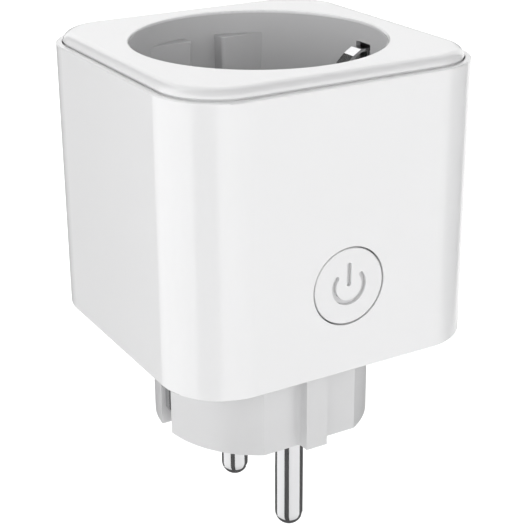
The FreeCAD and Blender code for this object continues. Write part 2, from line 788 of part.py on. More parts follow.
def ramp(low, level):
    """Wedge that turns a pin's push into sideways travel."""
    made = doc.addObject("Part::Wedge", "shutter_ramp")
    made.Xmin, made.Xmax = -3.2, 3.6
    made.Ymin, made.Ymax = 0, 5.2
    made.Zmin, made.Zmax = 0, 6.2
    made.X2min, made.X2max = 3.5, 3.6
    made.Z2min, made.Z2max = 0, 6.2
    made.Placement = FreeCAD.Placement(Vec(0, 0, 0), FreeCAD.Rotation(Vec(1, 0, 0), 90))
    place(made, 0, low + 6.2, level)
    return made


def make_shutter_tray():
    """Tray that guides the shutter under the socket floor, with two screw ears."""
    level = "tray_level + 1.5"
    top = "stem_height + body_height - recess_depth - floor_thick"
    solids = [block("tray_floor", -12.6, 14.6, -14.6, 14.6, "tray_level", level)]
    for low, high in ((-14.6, -13.2), (13.2, 14.6)):
        solids.append(block("tray_rail", -12.6, 14.6, low, high, "tray_level", top))
    for low, high in ((-12.6, -11.3), (13.2, 14.6)):
        solids.append(block("tray_end", low, high, -14.6, 14.6, "tray_level", top))
    holes = []
    for side in (-1, 1):
        low, high = sorted((14.0 * side, 19.6 * side))
        ear = block("tray_ear", -2.8, 2.8, low, high, 40.6, 42.4)
        solids.append(round_edges("tray_ear_round", ear, 1.2, is_upright))
        holes.append(rod("tray_ear_hole", 1.15, 0, 17.2 * side, 40, 3))
        holes.append(rod("tray_pin_hole", 3.2, 0, "%d * pin_pitch / 2" % side, "tray_level - 1", 4))
    for x in (-12.6, 14.6):
        for y in (-14.6, 14.6):
            holes.append(rod("tray_boss_relief", 0.6, x, y, "tray_level - 1", 12))
    finish(cut("tray_body", join("tray_solids", solids), holes), "shutter_tray")


def make_shutter_spring():
    """Coil spring along X between the shutter's push face and the tray's end."""
    spring = coil("shutter_coil", 1.3, 0.1, 7.8 / 4.5, 7.8, Vec(5.15, 0, 41.6), Vec(0, 1, 0), 90)
    finish(spring, "shutter_spring")


def coil(name, radius, wire, pitch, height, start, axis, angle):
    """Helical spring swept along its own helix."""
    helix = doc.addObject("Part::Helix", name + "_path")
    helix.Pitch = pitch
    helix.Height = height
    helix.Radius = radius
    section = doc.addObject("Part::Circle", name + "_wire")
    section.Radius = wire
    section.Placement = FreeCAD.Placement(Vec(radius, 0, 0), FreeCAD.Rotation(Vec(1, 0, 0), 90))
    doc.recompute()
    swept = doc.addObject("Part::Sweep", name)
    swept.Sections = [section]
    swept.Spine = (helix, ["Edge%d" % (i + 1) for i in range(len(helix.Shape.Edges))])
    swept.Solid = True
    swept.Frenet = True
    swept.Placement = FreeCAD.Placement(start, FreeCAD.Rotation(axis, angle))
    return swept


# --- Screws ------------------------------------------------------------------------


def screw(name, head, head_tall, shank, length, x, y, z, down):
    """Pan-head screw with a cross recess; z is the seat of the head."""
    sign = 1 if down else -1
    top = rod(name + "_head", head, 0, 0, 0, head_tall)
    stem = rod(name + "_shank", shank, 0, 0, -length, length)
    dome = round_edges(name + "_dome", top, 0.5, lambda edge: at_level(edge, head_tall))
    solid = join(name + "_solid", [dome, stem])
    slot_a = block(name + "_slot_a", -head * 0.55, head * 0.55, -0.25, 0.25, head_tall - 0.7, head_tall + 1)
    slot_b = block(name + "_slot_b", -0.25, 0.25, -head * 0.55, head * 0.55, head_tall - 0.7, head_tall + 1)
    made = cut(name, solid, [slot_a, slot_b])
    turn = FreeCAD.Rotation() if sign > 0 else FreeCAD.Rotation(Vec(1, 0, 0), 180)
    made.Placement = FreeCAD.Placement(Vec(0, 0, 0), turn)
    place(made, x, y, z)
    return made


def make_screws():
    upper = []
    for side_x in (-1, 1):
        for side_y in (-1, 1):
            upper.append(screw("housing_screw", 2.25, 1.8, 1.25, 11, "%d * post_offset" % side_x,
                               "%d * post_offset" % side_y, "post_top + 2", True))
    finish(group("housing_screw_set", upper), "housing_screws")
    lower = [screw("tray_screw", 1.9, 1.4, 0.9, 5.2, 0, 17.2 * side, 40.6, False) for side in (-1, 1)]
    finish(group("tray_screw_set", lower), "tray_screws")


# --- Button ------------------------------------------------------------------------


def add_arc(sketch, x, y, radius, start, end):
    circle = Part.Circle(Vec(x, y, 0), Vec(0, 0, 1), radius)
    return sketch.addGeometry(Part.ArcOfCircle(circle, start, end), False)


def add_arc_slot(sketch, radius, half_width, half_gap):
    """Round slot along a circle, open at the top, with round ends."""
    start = math.pi / 2 + half_gap
    end = math.pi * 5 / 2 - half_gap
    x = radius * math.cos(end)
    y = radius * math.sin(end)
    outer = add_arc(sketch, 0, 0, radius + half_width, start, end)
    inner = add_arc(sketch, 0, 0, radius - half_width, start, end)
    first = add_arc(sketch, -x, y, half_width, start + math.pi, start + 2 * math.pi)
    second = add_arc(sketch, x, y, half_width, end, end + math.pi)
    sketch.addConstraint(Sketcher.Constraint("Coincident", outer, 3, -1, 1))
    sketch.addConstraint(Sketcher.Constraint("Coincident", inner, 3, -1, 1))
    sketch.addConstraint(Sketcher.Constraint("Tangent", outer, 1, first, 2))
    sketch.addConstraint(Sketcher.Constraint("Tangent", first, 1, inner, 1))
    sketch.addConstraint(Sketcher.Constraint("Tangent", inner, 2, second, 2))
    sketch.addConstraint(Sketcher.Constraint("Tangent", second, 1, outer, 2))


def add_bar_slot(sketch, low, high, half_width):
    """Upright slot with round ends on the middle line."""
    bottom = add_arc(sketch, 0, low, half_width, math.pi, 2 * math.pi)
    right = sketch.addGeometry(Part.LineSegment(Vec(half_width, low, 0), Vec(half_width, high, 0)), False)
    top = add_arc(sketch, 0, high, half_width, 0, math.pi)
    left = sketch.addGeometry(Part.LineSegment(Vec(-half_width, high, 0), Vec(-half_width, low, 0)), False)
    order = (bottom, right, top, left)
    for i, geo in enumerate(order):
        sketch.addConstraint(Sketcher.Constraint("Tangent", geo, 2, order[(i + 1) % 4], 1))
    constrain(sketch, half_width, "Radius", bottom)
    from_origin(sketch, bottom, 3, 0, low)
    from_origin(sketch, top, 3, 0, high)


def make_button_cap():
    """Flush round cap with a sunk power symbol, a retaining flange and a push boss."""
    body = new_body("button_cap")
    place(body, y="-body_half", z="button_height")
    face = new_sketch(body, "cap_face", role="XZ_Plane")
    add_circle(face, "button_radius")
    feature(body, "Pad", "cap_disc", face, 2.1, reverse=True)
    flange = new_sketch(body, "cap_flange", role="XZ_Plane", level=-2.1)
    add_circle(flange, "button_radius + 1.4")
    feature(body, "Pad", "cap_flange_disc", flange, 1.0, reverse=True)
    boss = new_sketch(body, "cap_boss", role="XZ_Plane", level=-3.1)
    add_circle(boss, 1.8)
    feature(body, "Pad", "cap_push_boss", boss, 1.0, reverse=True)
    ring = new_sketch(body, "symbol_ring", role="XZ_Plane")
    add_arc_slot(ring, 2.65, 0.38, math.radians(54))
    pocket(body, "symbol_ring_slot", ring, 1.6)
    bar = new_sketch(body, "symbol_bar", role="XZ_Plane")
    add_bar_slot(bar, 0.35, 3.4, 0.38)
    pocket(body, "symbol_bar_slot", bar, 1.6)
    radius = evaluate("button_radius")
    dress(body, "Fillet", "cap_rim_round", 0.2, lambda edge: is_cap_rim(edge, radius))
    return body


def make_light_guides():
    """Two inlays that fill the symbol's slots to just below the cap's face."""
    ring_guide = new_body("symbol_ring_guide")
    bar_guide = new_body("symbol_bar_guide")
    for body in (ring_guide, bar_guide):
        place(body, y="-body_half", z="button_height")
    ring = new_sketch(ring_guide, "ring_guide_outline", role="XZ_Plane", level="-symbol_depth")
    add_arc_slot(ring, 2.65, 0.36, math.radians(54))
    feature(ring_guide, "Pad", "ring_guide_pad", ring, "1.55 - symbol_depth", reverse=True)
    bar = new_sketch(bar_guide, "bar_guide_outline", role="XZ_Plane", level="-symbol_depth")
    add_bar_slot(bar, 0.35, 3.4, 0.36)
    feature(bar_guide, "Pad", "bar_guide_pad", bar, "1.55 - symbol_depth", reverse=True)


def is_cap_rim(edge, radius):
    curve = edge.Curve
    box = edge.BoundBox
    return isinstance(curve, Part.Circle) and abs(curve.Radius - radius) < 1e-3 and abs(box.YMax) < 1e-3


def make_button_switch():
    """Push switch, lamp and upright board behind the cap."""
    level = "button_height"
    case = block("switch_case", -3, 3, -21.6, -19.1, level + " - 3", level + " + 3")
    case = round_edges("switch_case_round", case, 0.4, lambda edge: edge.BoundBox.YLength > 1)
    bore = rod("switch_bore", 1.8, 0, -22.4, level, 1.7, axis="Y")
    finish(cut("switch_with_bore", case, [bore]), "switch_body")
    stub = rod("plunger_stub", 1.72, 0, -22.3, level, 1.05, axis="Y")
    plunger = round_edges("plunger_round", stub, 0.2, lambda edge: edge.BoundBox.YMax < -22.2)
    finish(plunger, "switch_plunger")
    lamp = block("lamp_body", -1.75, 1.75, -20.4, -19.1, 35.9, 38.7)
    lens = rod("lamp_lens", 1.1, 0, -20.8, 37.3, 0.6, axis="Y")
    finish(join("lamp", [lamp, lens]), "status_led")
    board = block("upright_board", -12.5, 12.5, -19.1, -17.9, "board_level + board_thick", 38.9)
    finish(cut("upright_board_drilled", board, header_holes("Y")), "button_board")


def header_spots():
    return [2.0 + 2.0 * i for i in range(5)]


def header_holes(axis):
    """Clearance holes for the header pins in one of the two boards."""
    if axis == "Y":
        return [rod("header_hole", 0.5, x, -20, 26, 3, axis="Y") for x in header_spots()]
    return [rod("header_hole", 0.5, x, -16.6, 22, 3) for x in header_spots()]


def make_board_header():
    """Right-angle header that joins the upright board to the main board."""
    wires = []
    for x in header_spots():
        across = block("header_wire_across", x - 0.25, x + 0.25, -19.6, -16.35, 25.75, 26.25)
        upright = block("header_wire_down", x - 0.25, x + 0.25, -16.85, -16.35, 22.2, 26.25)
        wires.append(join("header_wire", [across, upright]))
    finish(group("header_wires", wires), "header_pins")
    shell = block("header_shell", 0.9, 11.1, -17.9, -15.4, "board_level + board_thick", 27.2)
    tool = doc.addObject("Part::MultiFuse", "header_wire_tool")
    tool.Shapes = wires
    finish(cut("header_shell_filled", shell, [tool]), "board_header")


# --- Main board and its parts --------------------------------------------------------


def make_main_board():
    """Power board with cut corners and holes for every lead that passes through."""
    top = "board_level + board_thick"
    blank = block("board_blank", -21.2, 21.2, -22.3, 22.3, "board_level", top)
    tools = header_holes("Z")
    for side_x in (-1, 1):
        for side_y in (-1, 1):
            x_low, x_high = sorted((14.4 * side_x, 22 * side_x))
            y_low, y_high = sorted((14.4 * side_y, 23 * side_y))
            tools.append(block("board_corner", x_low, x_high, y_low, y_high, 22, 26))
    for side in (-1, 1):
        tools.append(rod("board_pin_hole", 1.75, 0, "%d * pin_pitch / 2" % side, 22, 4))
        low, high = sorted((11.9 * side, 12.8 * side))
        tools.append(block("board_leg_slot", -1.5, 1.5, low, high, 22, 26))
    tools.append(block("board_relay_slot", "relay_middle - 2.4", "relay_middle + 2.4",
                       12.2, 13.2, 22, 26))
    finish(cut("board_drilled", blank, tools), "main_board")


def can(name, radius, height, x, y):
    """Upright round component with soft edges, standing on the main board."""
    drum = rod(name + "_drum", radius, 0, 0, 0, height)
    rounded = round_edges(name, drum, 0.45, lambda edge: isinstance(edge.Curve, Part.Circle))
    place(rounded, x, y, "board_level + board_thick")
    return rounded


def chip(name, x_low, x_high, y_low, y_high, height):
    """Flat moulded component standing on the main board."""
    floor = "board_level + board_thick"
    body = block(name + "_block", x_low, x_high, y_low, y_high, floor, "%s + %s" % (floor, height))
    seat = evaluate(floor)
    return round_edges(name, body, 0.2, lambda edge: edge.BoundBox.ZMax > seat + 0.01)


def make_board_parts():
    cans = [can("supply_can", 4, 11.8, -11.2, y) for y in (-11.4, -2.6)]
    finish(group("supply_cans", cans), "supply_capacitors")
    finish(can("output_can", 2.3, 8, -5.6, -14.8), "output_capacitor")
    finish(chip("rectifier", -13.8, -8.8, 13.6, 17.6, 2.5), "bridge_rectifier")
    finish(chip("supply_chip", -6.6, -1.7, -2, 2, 1.5), "power_chip")
    finish(chip("metering_chip", 1.5, 6.4, -2, 2, 1.5), "meter_chip")
    finish(chip("shunt", -3.2, 3.2, 14.2, 17.4, 0.6), "shunt_resistor")
    make_inductor()
    make_leaded_parts()


def make_inductor():
    """Drum-core inductor with a wound waist."""
    drum = rod("inductor_drum", 4.2, 0, 0, 0, 10)
    ring = rod("inductor_ring", 5, 0, 0, 1.2, 7.6)
    core = rod("inductor_waist", 3.7, 0, 0, 1, 8)
    made = join("inductor", [cut("inductor_ends", drum, [ring]), core])
    place(made, -11.2, 7.2, "board_level + board_thick")
    finish(made, "filter_inductor")


def make_leaded_parts():
    """Disc varistor and axial fuse resistor on wire leads."""
    top = "board_level + board_thick"
    disc = rod("varistor_disc", 4.8, -19.9, 6.5, 31.2, 3.4, axis="X")
    disc = round_edges("varistor_round", disc, 1.2, lambda edge: isinstance(edge.Curve, Part.Circle))
    legs = [rod("varistor_leg", 0.35, -18.2, 6.5 + 3 * side, top, 4) for side in (-1, 1)]
    finish(join("varistor_with_legs", [disc] + legs), "varistor")
    tube = rod("fuse_tube", 1.8, -18.2, -12.8, 29.6, 8.4, axis="Y")
    tube = round_edges("fuse_round", tube, 0.6, lambda edge: isinstance(edge.Curve, Part.Circle))
    across = rod("fuse_wire", 0.35, -18.2, -14.2, 29.6, 11.2, axis="Y")
    ends = [rod("fuse_leg", 0.35, -18.2, y, top, 5.3) for y in (-13.9, -3.3)]
    finish(join("fuse_with_legs", [tube, across] + ends), "fuse_resistor")


def make_relay():
    """Open-frame power relay under a case, with its armature at the +Y end."""
    floor = "board_level + board_thick"
    left = "relay_middle - relay_wide / 2"
    right = "relay_middle + relay_wide / 2"
    end = "relay_long / 2"
    base = block("relay_plate", left, right, "-" + end, end, floor, floor + " + 1.4")
    slot = block("relay_plate_slot", "relay_middle - 2.4", "relay_middle + 2.4", 12.2, 13.2, 24, 27)
    finish(cut("relay_plate_cut", base, [slot]), "relay_base")

    cover = block("relay_cover", left, right, "-" + end, end, floor + " + 1.4", floor + " + relay_tall")
    cover = round_edges("relay_cover_round", cover, 0.7,
                        lambda edge: is_upright(edge) or edge.BoundBox.ZMin > 36)
    room = block("relay_room", left + " + 0.6", right + " - 0.6", "0.6 - " + end, end + " - 0.6",
                 24, floor + " + relay_tall - 0.6")
    finish(cut("relay_cover_hollow", cover, [room]), "relay_case")
    make_relay_coil()
    make_relay_contacts()


def make_relay_coil():
    """Bobbin, winding, core and yoke of the relay, with the coil along Y."""
    x = "relay_middle"
    z = 31.0
    flanges = []
    for y in (-12.8, 1.0):
        plate = block("bobbin_flange", x + " - 4.2", x + " + 4.2", y, y + 0.8, z - 4.2, z + 4.2)
        flanges.append(round_edges("bobbin_flange_round", plate, 0.8, runs_along_y))
    tube = rod("bobbin_tube", 2.6, x, -12.8, z, 14.6, axis="Y")
    bore = rod("bobbin_bore", 2.0, x, -13, z, 16, axis="Y")
    finish(cut("bobbin", join("bobbin_solids", flanges + [tube]), [bore]), "relay_bobbin")
    winding = rod("winding", 4.0, x, -12.0, z, 13.0, axis="Y")
    inside = rod("winding_inside", 2.6, x, -12.5, z, 14.0, axis="Y")
    finish(cut("winding_ring", winding, [inside]), "relay_coil")
    core = rod("core_rod", 2.0, x, -12.8, z, 15.0, axis="Y")
    finish(core, "relay_core")
    floor = block("yoke_floor", x + " - 3.8", x + " + 3.8", -13.5, 3.2, 26.0, 26.7)
    back = block("yoke_back", x + " - 3.8", x + " + 3.8", -13.5, -12.8, 26.0, 35.0)
    finish(join("yoke", [floor, back]), "relay_yoke")


def make_relay_contacts():
    """Armature with its contact arm, and the fixed contact above the arm's end."""
    x = "relay_middle"
    plate = block("armature_plate", x + " - 3.8", x + " + 3.8", 2.7, 3.5, 27.0, 35.0)
    knee = round_edges("armature_knee", plate, 0.39,
                       lambda edge: edge.BoundBox.XLength > 7 and edge.BoundBox.ZMax < 27.1)
    armature = round_edges("armature_round", knee, 0.25,
                           lambda edge: edge.BoundBox.ZMin > 34.9 and runs_along_y(edge))
    finish(armature, "relay_armature")
    tab = block("arm_tab", x + " - 2.2", x + " + 2.2", 3.5, 3.8, 28.0, 32.5)
    leaf = block("arm_leaf", x + " - 2.2", x + " + 2.2", 3.5, 11.8, 28.0, 28.3)
    button = rod("arm_contact", 1.3, x, 10.0, 28.3, 0.6)
    finish(join("contact_arm", [tab, leaf, button]), "relay_contact_arm")
    stud = rod("fixed_stud", 1.3, x, 10.0, 29.45, 0.85)
    shelf = block("fixed_shelf", x + " - 2.2", x + " + 2.2", 8.4, 13.0, 30.3, 30.8)
    post = block("fixed_post", x + " - 2.2", x + " + 2.2", 12.5, 13.0, 22.3, 30.8)
    finish(join("fixed_contact", [stud, shelf, post]), "relay_fixed_contact")


def make_radio():
    """Upright radio board with its screening can."""
    board = block("radio_board", -9, 9, 20.3, 21.1, "board_level + board_thick", 41.5)
    board = round_edges("radio_board_round", board, 0.8,
                        lambda edge: edge.BoundBox.ZMin > 41 and runs_along_y(edge))
    finish(board, "wifi_board")
    shell = block("screen_block", -7, 7, 18.2, 20.3, 26.4, 37.6)
    shell = round_edges("screen_round", shell, 0.5, lambda edge: edge.BoundBox.YMin < 18.3)
    room = block("screen_room", -6.75, 6.75, 18.45, 21, 26.65, 37.35)
    finish(cut("screen", shell, [room]), "wifi_shield")


# --- Build, check and export ------------------------------------------------------------


def build():
    write_dimensions()
    make_outer_sleeve()
    make_top_fascia()
    make_socket_cup()
    make_plug_stem()
    make_base_plate()
    make_pin("live_pin", -1)
    make_pin("neutral_pin", 1)
    make_earth_path()
    make_socket_contact("live_contact", -1)
    make_socket_contact("neutral_contact", 1)
    make_shutter()
    make_shutter_tray()
    make_shutter_spring()
    make_screws()
    make_button_cap()
    make_light_guides()
    make_button_switch()
    make_board_header()
    make_main_board()
    make_board_parts()
    make_relay()
    make_radio()
    doc.recompute()


def check():
    """Every feature must be up to date and every sub-part a valid closed shape."""
    for obj in doc.Objects:
        bad = [word for word in obj.State if word in ("Invalid", "Error")]
        if bad:
            raise ValueError("%s is %s" % (obj.Label, bad))
    for obj in nodes:
        shape = obj.Shape
        if shape.isNull() or not shape.isValid() or not shape.Solids:
            raise ValueError("%s has no valid solid" % obj.Label)


def export():
    os.makedirs("parts", exist_ok=True)
    for obj in nodes:
        obj.Shape.exportStep("parts/%s.step" % obj.Label)


build()
check()
export()
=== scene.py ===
import json
import math

import bpy
from mathutils import Matrix, Vector


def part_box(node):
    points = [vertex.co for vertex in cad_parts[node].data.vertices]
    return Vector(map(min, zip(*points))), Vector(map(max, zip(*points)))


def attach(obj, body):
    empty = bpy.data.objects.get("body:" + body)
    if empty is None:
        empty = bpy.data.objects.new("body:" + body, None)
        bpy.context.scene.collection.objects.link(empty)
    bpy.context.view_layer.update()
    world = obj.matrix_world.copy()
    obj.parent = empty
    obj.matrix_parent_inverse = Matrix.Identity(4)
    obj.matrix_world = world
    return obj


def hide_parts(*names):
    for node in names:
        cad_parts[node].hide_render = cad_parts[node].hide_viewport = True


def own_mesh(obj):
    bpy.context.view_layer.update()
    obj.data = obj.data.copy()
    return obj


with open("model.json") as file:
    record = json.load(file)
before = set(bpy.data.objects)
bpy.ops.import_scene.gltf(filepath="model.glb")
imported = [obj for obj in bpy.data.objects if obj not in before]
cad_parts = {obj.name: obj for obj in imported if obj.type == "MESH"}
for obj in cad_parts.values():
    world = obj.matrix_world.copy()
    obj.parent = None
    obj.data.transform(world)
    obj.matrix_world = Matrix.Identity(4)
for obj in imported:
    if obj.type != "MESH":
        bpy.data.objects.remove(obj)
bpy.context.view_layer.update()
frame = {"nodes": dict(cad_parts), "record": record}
nodes = frame["nodes"]


# --- Materials ---------------------------------------------------------------


def new_material(name):
    """Material with its node tree and its main shader."""
    material = bpy.data.materials.new(name)
    material.use_nodes = True
    tree = material.node_tree
    shader = tree.nodes["Principled BSDF"]
    return material, tree, shader


def darker(colour, share):
    """The colour with each part brought down to a share of itself."""
    return tuple(part * share for part in colour)


def ramp(tree, source, low, high):
    """Map a 0 to 1 value onto a range."""
    node = tree.nodes.new("ShaderNodeMapRange")
    node.inputs["To Min"].default_value = low
    node.inputs["To Max"].default_value = high
    tree.links.new(source, node.inputs["Value"])
    return node.outputs["Result"]


def tint(tree, source, dark, light):
    """Blend two colours by a 0 to 1 value."""
    node = tree.nodes.new("ShaderNodeMix")
    node.data_type = "RGBA"
    node.inputs["A"].default_value = (*dark, 1)
    node.inputs["B"].default_value = (*light, 1)
    tree.links.new(source, node.inputs["Factor"])
    return node.outputs["Result"]


def noise(tree, scale, detail, stretch=(1, 1, 1)):
    """Noise in object space, in cycles per metre."""
    place = tree.nodes.new("ShaderNodeTexCoord")
    shape = tree.nodes.new("ShaderNodeMapping")
    shape.inputs["Scale"].default_value = stretch
    texture = tree.nodes.new("ShaderNodeTexNoise")
    texture.inputs["Scale"].default_value = scale
    texture.inputs["Detail"].default_value = detail
    tree.links.new(place.outputs["Object"], shape.inputs["Vector"])
    tree.links.new(shape.outputs["Vector"], texture.inputs["Vector"])
    return texture.outputs["Fac"]


def bump(tree, shader, height, distance, strength=0.3):
    """Relief of the given depth in metres."""
    node = tree.nodes.new("ShaderNodeBump")
    node.inputs["Distance"].default_value = distance
    node.inputs["Strength"].default_value = strength
    tree.links.new(height, node.inputs["Height"])
    tree.links.new(node.outputs["Normal"], shader.inputs["Normal"])


def moulded_plastic(name, colour, rough, depth=0.00001, specular=0.5):
    """Moulded plastic: a faint grain in height, tone and gloss."""
    material, tree, shader = new_material(name)
    tone = noise(tree, 60.0, 2.0)
    fine = noise(tree, 2600.0, 4.0)
    shade = tint(tree, tone, darker(colour, 0.98), colour)
    tree.links.new(shade, shader.inputs["Base Color"])
    gloss = ramp(tree, fine, rough * 0.85, rough * 1.15)
    tree.links.new(gloss, shader.inputs["Roughness"])
    shader.inputs["Specular IOR Level"].default_value = specular
    bump(tree, shader, fine, depth)
    return material


def worked_metal(name, colour, rough, stretch=(1, 1, 1), relief=0.2):
    """Bare or plated metal with fine working marks."""
    material, tree, shader = new_material(name)
    marks = noise(tree, 900.0, 5.0, stretch)
    shade = tint(tree, marks, darker(colour, 0.9), colour)
    tree.links.new(shade, shader.inputs["Base Color"])
    gloss = ramp(tree, marks, rough * 0.7, rough * 1.3)
    tree.links.new(gloss, shader.inputs["Roughness"])
    shader.inputs["Metallic"].default_value = 1.0
    bump(tree, shader, marks, 0.000004, relief)
    return material


def wound_wire(name, colour, turns_per_metre, along):
    """Enamelled wire winding: ridges across the winding's axis, with painted shade in the grooves
    between turns.
    """
    material, tree, shader = new_material(name)
    place = tree.nodes.new("ShaderNodeTexCoord")
    wave = tree.nodes.new("ShaderNodeTexWave")
    wave.bands_direction = along
    wave.inputs["Scale"].default_value = turns_per_metre
    wave.inputs["Distortion"].default_value = 0.4
    tree.links.new(place.outputs["Object"], wave.inputs["Vector"])
    # painted shade: the colour is darkened in the grooves between turns, following the relief
    shade = tint(tree, wave.outputs["Fac"], darker(colour, 0.45), colour)
    tree.links.new(shade, shader.inputs["Base Color"])
    shader.inputs["Metallic"].default_value = 0.6
    shader.inputs["Roughness"].default_value = 0.32
    bump(tree, shader, wave.outputs["Fac"], 0.00008, 0.8)
    return material


def board_laminate(name, colour, track):
    """Solder-resist board with tracks that show through as lighter cells."""
    material, tree, shader = new_material(name)
    place = tree.nodes.new("ShaderNodeTexCoord")
    cells = tree.nodes.new("ShaderNodeTexVoronoi")
    cells.feature = "DISTANCE_TO_EDGE"
    cells.inputs["Scale"].default_value = 700.0
    tree.links.new(place.outputs["Object"], cells.inputs["Vector"])
    steps = tree.nodes.new("ShaderNodeValToRGB")
    steps.color_ramp.elements[0].position = 0.03
    steps.color_ramp.elements[1].position = 0.06
    tree.links.new(cells.outputs["Distance"], steps.inputs["Fac"])
    shade = tint(tree, steps.outputs["Color"], track, colour)
    tree.links.new(shade, shader.inputs["Base Color"])
    shader.inputs["Roughness"].default_value = 0.35
    bump(tree, shader, steps.outputs["Color"], 0.00003, 0.4)
    return material


def clear_lens(name, colour):
    """Slightly hazy clear plastic."""
    material, tree, shader = new_material(name)
    haze = noise(tree, 900.0, 2.0)
    shade = tint(tree, haze, darker(colour, 0.93), colour)
    tree.links.new(shade, shader.inputs["Base Color"])
    shader.inputs["Transmission Weight"].default_value = 0.6
    shader.inputs["Roughness"].default_value = 0.18
    return material


# One material for each material slot of the record.
LOOKS = {
    "white_shell": moulded_plastic("White Sleeve", (0.81, 0.81, 0.815), 0.2, specular=0.8),
    "white_fascia": moulded_plastic("White Fascia", (0.825, 0.825, 0.83), 0.2, specular=0.8),
    "grey_socket": moulded_plastic("Grey Socket", (0.585, 0.585, 0.59), 0.42, 0.00002),
    # painted shade: the base gets a darker white than the sleeve, standing in for the shadow
    # under the body
    "white_base": moulded_plastic("White Base Painted Shade", (0.62, 0.62, 0.625), 0.3, 0.000015, 0.7),
    "nickel_pin": worked_metal("Nickel Pin", (0.75, 0.75, 0.76), 0.08, (1, 1, 0.05), 0.02),
    "bright_strip": worked_metal("Bright Strip", (0.62, 0.62, 0.63), 0.12, (1, 1, 0.1), 0.05),
    "brass_contact": worked_metal("Brass Contact", (0.83, 0.66, 0.34), 0.26, (1, 1, 0.1)),
    "shutter_plastic": moulded_plastic("Shutter Plastic", (0.05, 0.05, 0.055), 0.45),
    "tray_plastic": moulded_plastic("Tray Plastic", (0.45, 0.45, 0.46), 0.45),
    "spring_steel": worked_metal("Spring Steel", (0.7, 0.7, 0.72), 0.25),
    "screw_steel": worked_metal("Screw Steel", (0.6, 0.6, 0.62), 0.32),
    "button_white": moulded_plastic("Button White", (0.81, 0.81, 0.815), 0.2),
    "black_plastic": moulded_plastic("Black Plastic", (0.02, 0.02, 0.022), 0.4),
    "plunger_plastic": moulded_plastic("Plunger Plastic", (0.5, 0.06, 0.05), 0.4),
    "light_guide": moulded_plastic("Light Guide", (0.63, 0.63, 0.635), 0.35),
    "led_lens": clear_lens("Lamp Lens", (0.9, 0.92, 0.95)),
    "circuit_board": board_laminate("Circuit Board", (0.01, 0.09, 0.035), (0.02, 0.14, 0.055)),
    "gold_wire": worked_metal("Gold Wire", (0.87, 0.68, 0.32), 0.2),
    "capacitor_sleeve": moulded_plastic("Capacitor Sleeve", (0.02, 0.022, 0.03), 0.25),
    "chip_black": moulded_plastic("Chip Black", (0.015, 0.015, 0.017), 0.55),
    "copper_alloy": worked_metal("Copper Alloy", (0.72, 0.42, 0.26), 0.3),
    "ferrite_winding": wound_wire("Ferrite Winding", (0.35, 0.15, 0.08), 420.0, "Z"),
    "blue_disc": moulded_plastic("Blue Disc", (0.02, 0.06, 0.28), 0.3),
    "green_resistor": moulded_plastic("Green Resistor", (0.06, 0.2, 0.11), 0.55),
    "relay_black": moulded_plastic("Relay Black", (0.02, 0.02, 0.022), 0.45),
    "relay_blue": moulded_plastic("Relay Blue", (0.012, 0.05, 0.24), 0.3),
    "bobbin_plastic": moulded_plastic("Bobbin Plastic", (0.7, 0.66, 0.55), 0.5),
    "copper_winding": wound_wire("Copper Winding", (0.75, 0.32, 0.14), 600.0, "Y"),
    "soft_iron": worked_metal("Soft Iron", (0.56, 0.56, 0.57), 0.35),
    "radio_board": board_laminate("Radio Board", (0.008, 0.016, 0.08), (0.014, 0.032, 0.12)),
    "tin_shield": worked_metal("Tin Shield", (0.75, 0.75, 0.76), 0.3),
}


def dress_nodes():
    """Give each CAD node the material of its slot."""
    slots = {entry["node"]: entry["material_slot"] for entry in frame["record"]["subparts"]}
    for name, node in nodes.items():
        slot = slots[name]
        node.data.materials.clear()
        node.data.materials.append(LOOKS[slot])


def make_spring():
    """Coil between the shutter and its tray, built as one fixed shape; in the plug it closes up
    as the shutter slides.
    """
    low, high = (Vector(corner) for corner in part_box("shutter_spring"))
    wire = 0.0001
    turns = 4.5
    steps = 144
    sides = 8
    middle = (low + high) / 2
    radius = (high.z - low.z) / 2 - wire
    length = high.x - low.x - 2 * wire
    points = []
    for i in range(steps + 1):
        turn = 2 * math.pi * turns * i / steps
        away = Vector((0, math.sin(turn), -math.cos(turn)))
        centre = Vector((low.x + wire + length * i / steps, middle.y, middle.z))
        for j in range(sides):
            side = 2 * math.pi * j / sides
            along = Vector((wire * math.sin(side), 0, 0))
            points.append(centre + away * (radius + wire * math.cos(side)) + along)
    first_end = tuple(range(sides))
    last_end = tuple(range(steps * sides, (steps + 1) * sides))[::-1]
    faces = [first_end, last_end]
    for i in range(steps):
        for j in range(sides):
            here, beside = i * sides + j, i * sides + (j + 1) % sides
            faces.append((here, here + sides, beside + sides, beside))
    mesh = bpy.data.meshes.new("shutter_coil")
    mesh.from_pydata(points, [], faces)
    mesh.polygons.foreach_set("use_smooth", [True] * len(faces))
    mesh.materials.append(LOOKS["spring_steel"])
    spring = bpy.data.objects.new("shutter_coil", mesh)
    bpy.context.scene.collection.objects.link(spring)
    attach(spring, "housing")
    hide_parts("shutter_spring")
    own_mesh(spring)


# --- Studio ----------------------------------------------------------------------

FLOOR_LEVEL = -0.45
MAT_LEVEL = -0.445      # the mat and the near ends of the paths lie just over the floor
PATH_LEVEL = -0.444
FLAG_FOOT = -0.33
CANOPY_LEVEL = 0.75
CARD_DISTANCE = 0.5
VIEW_AZIMUTH = 59.6     # the way the camera looks, seen from above


def make_card(name, corners, material, in_picture=False):
    """Flat studio card with the given outline; only the floor shows in a picture."""
    mesh = bpy.data.meshes.new(name)
    mesh.from_pydata(corners, [], [range(len(corners))])
    mesh.materials.append(material)
    card = bpy.data.objects.new(name, mesh)
    card.visible_camera = in_picture
    bpy.context.scene.collection.objects.link(card)
    return card


def seen_in_gloss_only(card):
    """The object mirrors this card, which leaves the light on the floor as it is."""
    card.visible_diffuse = False
    card.visible_shadow = False


